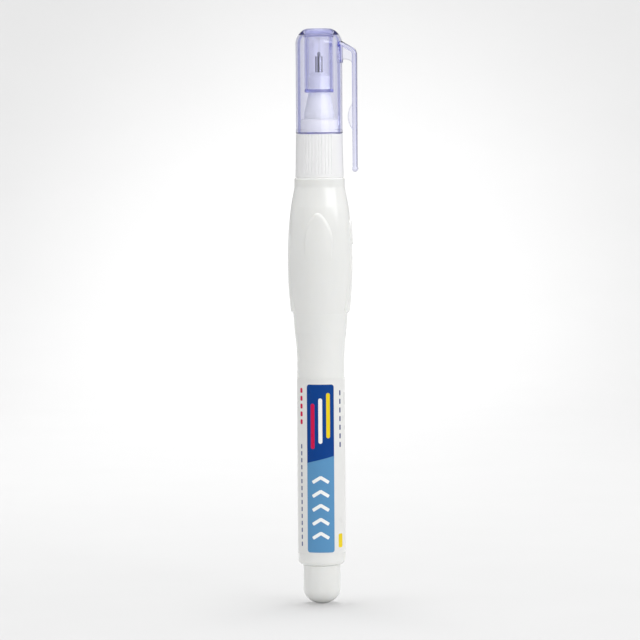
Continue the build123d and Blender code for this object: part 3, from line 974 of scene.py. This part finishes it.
clip = plate_piece("clip_bar", rounded(clip_corners), clip_width)
pick(clip, "VERT", lambda corners: corners[0].z < clip_end + clip_taper)
bpy.ops.transform.resize(value=(1, clip_end_width / clip_width, 1))
pick(clip, "FACE", lambda corners: len(corners) > 4)
bpy.ops.mesh.region_to_loop()
bpy.ops.mesh.bevel(offset=clip_edge * MM, segments=clip_edge_steps, affect="EDGES")
close_up()
print(f"clip: {clip_length} mm long, {clip_width} mm wide at its root")

# %% [markdown]
# ## Web and contact rib
# A thin web stiffens the clip's bend, and a low rib on the bar's inner face grips a pocket's edge.
# Both are plates again. Their free edges are bevelled, which draws their outlines in the clear
# plastic. Edges that end inside the cap's wall or the bar stay as they are.

# %% Web and rib
web_thick = 1.0
web_end_drop, web_foot_drop = 9.8, 7.8
rib_drop, rib_proud, rib_half = 21.3, 1.15, 3.2
arc_steps = 24

web_end = (clip_mid, cap_top - web_end_drop)
web_foot = (arm_root.x, cap_top - web_foot_drop)
web_line = [*rising_arc(web_end, web_foot, arc_steps), arm_root, arm_bend]
web = plate_piece("clip_web", web_line, web_thick)

rib_mid = Vector((clip_mid - half, cap_top - rib_drop))
rib_r = (rib_half ** 2 + rib_proud ** 2) / (2 * rib_proud)
rib_angle = math.asin(rib_half / rib_r)
rib_centre = rib_mid + Vector((rib_r - rib_proud, 0))
rib_line = []
for step in range(arc_steps + 1):
    angle = math.pi - rib_angle + 2 * rib_angle * step / arc_steps
    rib_line.append(rib_centre + Vector((math.cos(angle), math.sin(angle))) * rib_r)
rib_back = [Vector((clip_mid, rib_line[-1].y)), Vector((clip_mid, rib_line[0].y))]
rib = plate_piece("contact_rib", [*rib_line, *rib_back], web_thick)

# %% Free edges of the plates
thin_edge, thin_edge_steps = 0.25, 5
clip_inside = clip_mid - half / 2


def is_free(corners):
    """Tell whether an edge lies along a plate's face, clear of the cap's wall, arm and bar."""
    return (
        corners[0].y * corners[1].y > 0
        and all(arm_root.x - thin_edge < corner.x < clip_inside for corner in corners)
        and all((corner.xz - arm_root).dot(arm_side) < -thin_edge * half for corner in corners)
    )


for plate in (web, rib):
    pick(plate, "EDGE", is_free)
    bpy.ops.mesh.bevel(offset=thin_edge * MM, segments=thin_edge_steps, affect="EDGES")
    close_up()
    print(f"{plate.name}: {len(plate.data.polygons)} faces with its bevel")

# %% [markdown]
# ## Root pad
# A flat pad carries the clip on the round cap. It could be a plate like the clip, but a cube at the
# pad's size is quicker here: one bevel rounds its four corners, and another the rim of its face.

# %% Root pad
pad_drop, pad_proud = 3.3, 0.12
pad_depth, pad_length = 0.7, 5.0
pad_corner, pad_corner_steps = 0.8, 6
pad_edge, pad_edge_steps = moulded_edge / 2, 4

pad_face = cap_r + pad_proud
bpy.ops.object.select_all(action="DESELECT")
bpy.ops.mesh.primitive_cube_add(size=MM)
pad = bpy.context.object
pad.name = "clip_root_pad"
bpy.ops.object.mode_set(mode="EDIT")
bpy.ops.transform.resize(value=(pad_depth, clip_width, pad_length))
bpy.ops.transform.translate(
    value=((pad_face - pad_depth / 2) * MM, 0, (cap_top - pad_drop - pad_length / 2) * MM)
)
pick(pad, "EDGE", lambda corners: abs(corners[0].x - corners[1].x) > pad_depth / 2)
bpy.ops.mesh.bevel(offset=pad_corner * MM, segments=pad_corner_steps, affect="EDGES")
pick(pad, "EDGE", lambda corners: min(corner.x for corner in corners) > pad_face - pad_edge)
bpy.ops.mesh.bevel(offset=pad_edge * MM, segments=pad_edge_steps, affect="EDGES")
close_up()
print(f"root pad: {clip_width} x {pad_length} mm")

# %% [markdown]
# ## One moulding
# Cap, pad, clip, web and rib come out of the mould as one piece, and inside a clear piece every
# hidden wall would show. So the parts are joined by a true union, and the weighted normals keep
# the large faces even beside the small bevels.

# %% Union of the cap
def apply_modifier(piece, kind, **settings):
    """Add a modifier, set it and apply it to the mesh."""
    bpy.ops.object.select_all(action="DESELECT")
    piece.select_set(True)
    bpy.context.view_layer.objects.active = piece
    modifier = piece.modifiers.new(kind.lower(), kind)
    for name, value in settings.items():
        setattr(modifier, name, value)
    bpy.ops.object.modifier_apply(modifier=modifier.name)


for part in (pad, clip, web, rib):
    apply_modifier(cap, "BOOLEAN", operation="UNION", solver="EXACT", object=part)
    bpy.data.objects.remove(part)
bpy.ops.object.mode_set(mode="EDIT")
close_up()
apply_modifier(cap, "WEIGHTED_NORMAL", keep_sharp=True)
cap.data.materials.append(clear_plastic)
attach(cap, "cap")
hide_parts("cap")
print(f"cap with its clip: {len(cap.data.polygons)} faces, one moulding")

# %% [markdown]
# ## Light through the cap
# A clear cap hardly shades what is inside it, but Cycles rarely finds the light that clear walls
# bend, so the cap casts no shadow here. Only the overhead box is thrown aside by the domed roof,
# and light linking keeps it off the nozzle and the collar below.

# %% Light through the cap
cap.visible_shadow = False
under_cap = bpy.data.collections.new("under_the_cap")
for name in ("nozzle", "ribbed_collar"):
    under_cap.objects.link(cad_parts[name])
for entry in under_cap.collection_objects:
    entry.light_linking.link_state = "EXCLUDE"
bpy.data.objects["overhead_soft_box"].light_linking.receiver_collection = under_cap

# %% [markdown]
# ## Label
# The label is a thin film wrapped once round the barrel, with its joint at the back. It starts as
# a flat grid whose UV map covers it once, so the print can be laid out in millimetres of film. A
# Simple Deform modifier bends it round, and Solidify gives it the thickness of a film.

# %% Label film
label_low, label_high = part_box("label")
film = 0.07
wrap = math.radians(359)
film_columns, film_rows = 240, 12

label_r = label_high.x / MM
label_foot = label_low.z / MM
label_height = (label_high.z - label_low.z) / MM
label_length = wrap * (label_r - film)
bpy.ops.object.select_all(action="DESELECT")
bpy.ops.mesh.primitive_grid_add(
    x_subdivisions=film_columns, y_subdivisions=film_rows, size=1, rotation=(math.pi / 2, 0, 0)
)
label = bpy.context.object
label.name = "printed_label"
label.scale = (label_length * MM, label_height * MM, 1)
bpy.ops.object.transform_apply(location=False, rotation=True, scale=True)
apply_modifier(label, "SIMPLE_DEFORM", deform_method="BEND", deform_axis="Z", angle=wrap)
bpy.ops.object.mode_set(mode="EDIT")
bpy.ops.mesh.select_all(action="SELECT")
bpy.ops.transform.translate(
    value=(0, -(label_r - film) * MM, (label_foot + label_height / 2) * MM)
)
bpy.ops.object.mode_set(mode="OBJECT")
apply_modifier(label, "SOLIDIFY", thickness=film * MM, offset=1)
bpy.ops.object.shade_smooth_by_angle(angle=math.radians(30))
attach(label, "pen_body")
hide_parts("label")
print(f"label: {label_length:.1f} x {label_height:.1f} mm of film")

# %% [markdown]
# ## Masks for the print
# Ink lies on the film in sharp shapes. Each shape is a mask, worked out in millimetres of film from
# the UV map: how far a point lies outside a rectangle that is smaller by its rounding gives a
# rounded rectangle, and wrapping the place first repeats it in a row.

# %% Place on the film
label_print, print_output = new_material("printed_polypropylene_film_gloss")
film_uv = add_node(label_print, "ShaderNodeUVMap")
film_place = add_node(
    label_print,
    "ShaderNodeMapping",
    {
        "Vector": film_uv.outputs["UV"],
        "Scale": (label_length, label_height, 1),
        "Location": (-label_length / 2, 0, 0),
    },
)
print(f"place on the film: {label_length / 2:.1f} mm to each side of the front")

# %% Masks for the print
ink_edge = 0.04
beyond_film = 1000  # millimetres, so that a row repeats upwards only


def patch(centre, size, corner, turn=0, repeat=0):
    """Mask of a rounded rectangle on the film, in mm, turned and repeated upwards if asked."""
    place = add_node(
        label_print,
        "ShaderNodeMapping",
        {
            "Vector": film_place.outputs["Vector"],
            "Location": (*centre, 0),
            "Rotation": (0, 0, turn),
        },
        vector_type="TEXTURE",
    ).outputs["Vector"]
    if repeat:
        place = add_node(
            label_print,
            "ShaderNodeVectorMath",
            {0: place, 1: (beyond_film, repeat / 2, 1), 2: (-beyond_film, -repeat / 2, -1)},
            operation="WRAP",
        ).outputs["Vector"]
    beyond = add_node(label_print, "ShaderNodeVectorMath", {0: place}, operation="ABSOLUTE")
    inner = (size[0] / 2 - corner, size[1] / 2 - corner, 1)
    beyond = add_node(
        label_print,
        "ShaderNodeVectorMath",
        {0: beyond.outputs[0], 1: inner},
        operation="SUBTRACT",
    )
    beyond = add_node(
        label_print,
        "ShaderNodeVectorMath",
        {0: beyond.outputs[0], 1: (0, 0, 0)},
        operation="MAXIMUM",
    )
    distance = add_node(
        label_print, "ShaderNodeVectorMath", {0: beyond.outputs[0]}, operation="LENGTH"
    )
    return add_node(
        label_print,
        "ShaderNodeMapRange",
        {
            "Value": distance.outputs["Value"],
            "From Min": corner + ink_edge,
            "From Max": corner - ink_edge,
        },
    ).outputs["Result"]


def both(one, other):
    """Mask of what two masks share."""
    shared = add_node(label_print, "ShaderNodeMath", {0: one, 1: other}, operation="MULTIPLY")
    return shared.outputs[0]


print("masks: ink edges", ink_edge, "mm soft")

# %% [markdown]
# ## Print on the label
# The print is a plain design: a tall two-colour panel, with upright bars in its dark part and
# chevrons in its light part, and rows of small dashes beside it. What repeats is laid out in loops,
# as a printer's drawing would give a first place and a step.

# %% Panel, bars and chevrons
navy, sky_blue, yellow, red = "#003F8B", "#5D95C2", "#EFD320", "#D1144C"
bar_white, chevron_white = "#FAFAF8", "#FAFAF9"
sharp = 0.1  # rounding of a corner that isn't seen
panel_mid, panel_size, panel_corner = (0.2, 20.7), (6.85, 40.9), 0.7
cover = (30, 40)  # larger than the panel, to cut it in two
cut_slant, upper_foot, lower_head = math.radians(14), 22.9, 22.3
bar_size, bar_corner = (0.95, 11.0), 0.47
bar_middle, bar_step, bar_rise = 32.3, 1.9, 1.3
chevrons, chevron_first, chevron_step = 5, 4.4, 3.4
stroke_size, stroke_corner, stroke_shift = (2.5, 0.8), 0.2, 0.93
stroke_slant = math.radians(32)

middle = panel_mid[0]
panel = patch(panel_mid, panel_size, panel_corner)
upper = patch((middle, upper_foot + cover[1] / 2), cover, sharp, cut_slant)
lower = patch((middle, lower_head - cover[1] / 2), cover, sharp, cut_slant)
inks = [(both(panel, upper), navy), (both(panel, lower), sky_blue)]
for place, ink in zip((-1, 0, 1), (red, bar_white, yellow)):
    centre = (middle + place * bar_step, bar_middle + place * bar_rise)
    inks.append((patch(centre, bar_size, bar_corner), ink))
for lift in range(chevrons):
    for side in (-1, 1):
        centre = (middle + side * stroke_shift, chevron_first + chevron_step * lift)
        stroke = patch(centre, stroke_size, stroke_corner, -stroke_slant * side)
        inks.append((stroke, chevron_white))
print(f"panel: {panel_size[0]} x {panel_size[1]} mm, {len(inks)} ink shapes")

# %% Rows of dashes
row_width = 2
dash_rows = [
    # centre of the row, size of a dash, its rounding, step, length of the row, ink
    ((-5.1, 14.1), (0.45, 1.1), 0.2, 1.7, 25.5, "#3C4C82"),
    ((-5.1, 35.8), (0.9, 1.2), 0.3, 1.9, 9.5, red),
    ((5.6, 32.7), (0.5, 1.3), 0.25, 2.1, 14.6, "#33417C"),
]
spot_centre, spot_size, spot_corner = (5.6, 3.0), (1.5, 3.4), 0.4

for centre, dash_size, dash_corner, dash_step, row_length, ink in dash_rows:
    dashes = patch(centre, dash_size, dash_corner, repeat=dash_step)
    inks.append((both(dashes, patch(centre, (row_width, row_length), sharp)), ink))
inks.append((patch(spot_centre, spot_size, spot_corner), yellow))
print(f"label print: {len(inks)} ink shapes")

# %% [markdown]
# ## Printed film
# The film is white polypropylene with a faint cloud and a soft gloss, which the eye sees as a thin
# sheen. The inks are laid over the white one by one, in the order of a printing press.

# %% Printed film
film_cloud_size = 5
film_cloud = add_node(
    label_print,
    "ShaderNodeTexNoise",
    {"Vector": film_place.outputs["Vector"], "Scale": 1 / film_cloud_size, "Detail": 2},
)
printed = add_node(
    label_print,
    "ShaderNodeMix",
    {"Factor": film_cloud.outputs["Fac"], 6: linear("#E6E6E4"), 7: linear("#EBEBE9")},
    data_type="RGBA",
).outputs[2]
for mask, ink in inks:
    printed = add_node(
        label_print, "ShaderNodeMix", {"Factor": mask, 6: printed, 7: linear(ink)}, data_type="RGBA"
    ).outputs[2]
film_gloss = add_node(
    label_print,
    "ShaderNodeMapRange",
    {"Value": film_cloud.outputs["Fac"], "To Min": 0.24, "To Max": 0.34},
)
film_shader = add_node(
    label_print,
    "ShaderNodeBsdfPrincipled",
    {
        "Base Color": printed,
        "Roughness": film_gloss.outputs["Result"],
        "IOR": 1.49,
        "Specular IOR Level": 0.15,
    },
)
label_print.node_tree.links.new(film_shader.outputs[0], print_output.inputs["Surface"])
label.data.materials.append(label_print)
print("printed film: cloud of", film_cloud_size, "mm")

# %% [markdown]
# ## Valve spring
# A fine wire spring inside the nozzle pushes the needle up. A curve with a bevel could draw it too,
# but a circle of wire swept by the Screw modifier is the quickest true helix.

# %% Valve spring
spring_low, spring_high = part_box("valve_spring")
wire_r, wire_sides = 0.15, 14
spring_turns, turn_steps = 6, 40

spring_r = spring_high.x / MM - wire_r
spring_foot = spring_low.z / MM + wire_r
spring_rise = (spring_high.z - spring_low.z) / MM - 2 * wire_r
bpy.ops.object.select_all(action="DESELECT")
bpy.ops.mesh.primitive_circle_add(
    vertices=wire_sides,
    radius=wire_r * MM,
    location=(spring_r * MM, 0, spring_foot * MM),
    rotation=(math.pi / 2, 0, 0),
)
spring = bpy.context.object
spring.name = "valve_spring_wire"
bpy.ops.object.transform_apply()
apply_modifier(
    spring,
    "SCREW",
    axis="Z",
    screw_offset=spring_rise / spring_turns * MM,
    iterations=spring_turns,
    steps=turn_steps,
    render_steps=turn_steps,
)
bpy.ops.object.mode_set(mode="EDIT")
bpy.ops.mesh.select_mode(type="EDGE")
bpy.ops.mesh.select_all(action="DESELECT")
bpy.ops.mesh.select_non_manifold()
bpy.ops.mesh.edge_face_add()
close_up(smooth_angle=40)
print(f"valve spring: {spring_turns} turns, {len(spring.data.polygons)} faces")

spring.data.materials.append(steel)
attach(spring, "pen_body")
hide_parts("valve_spring")
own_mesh(spring)
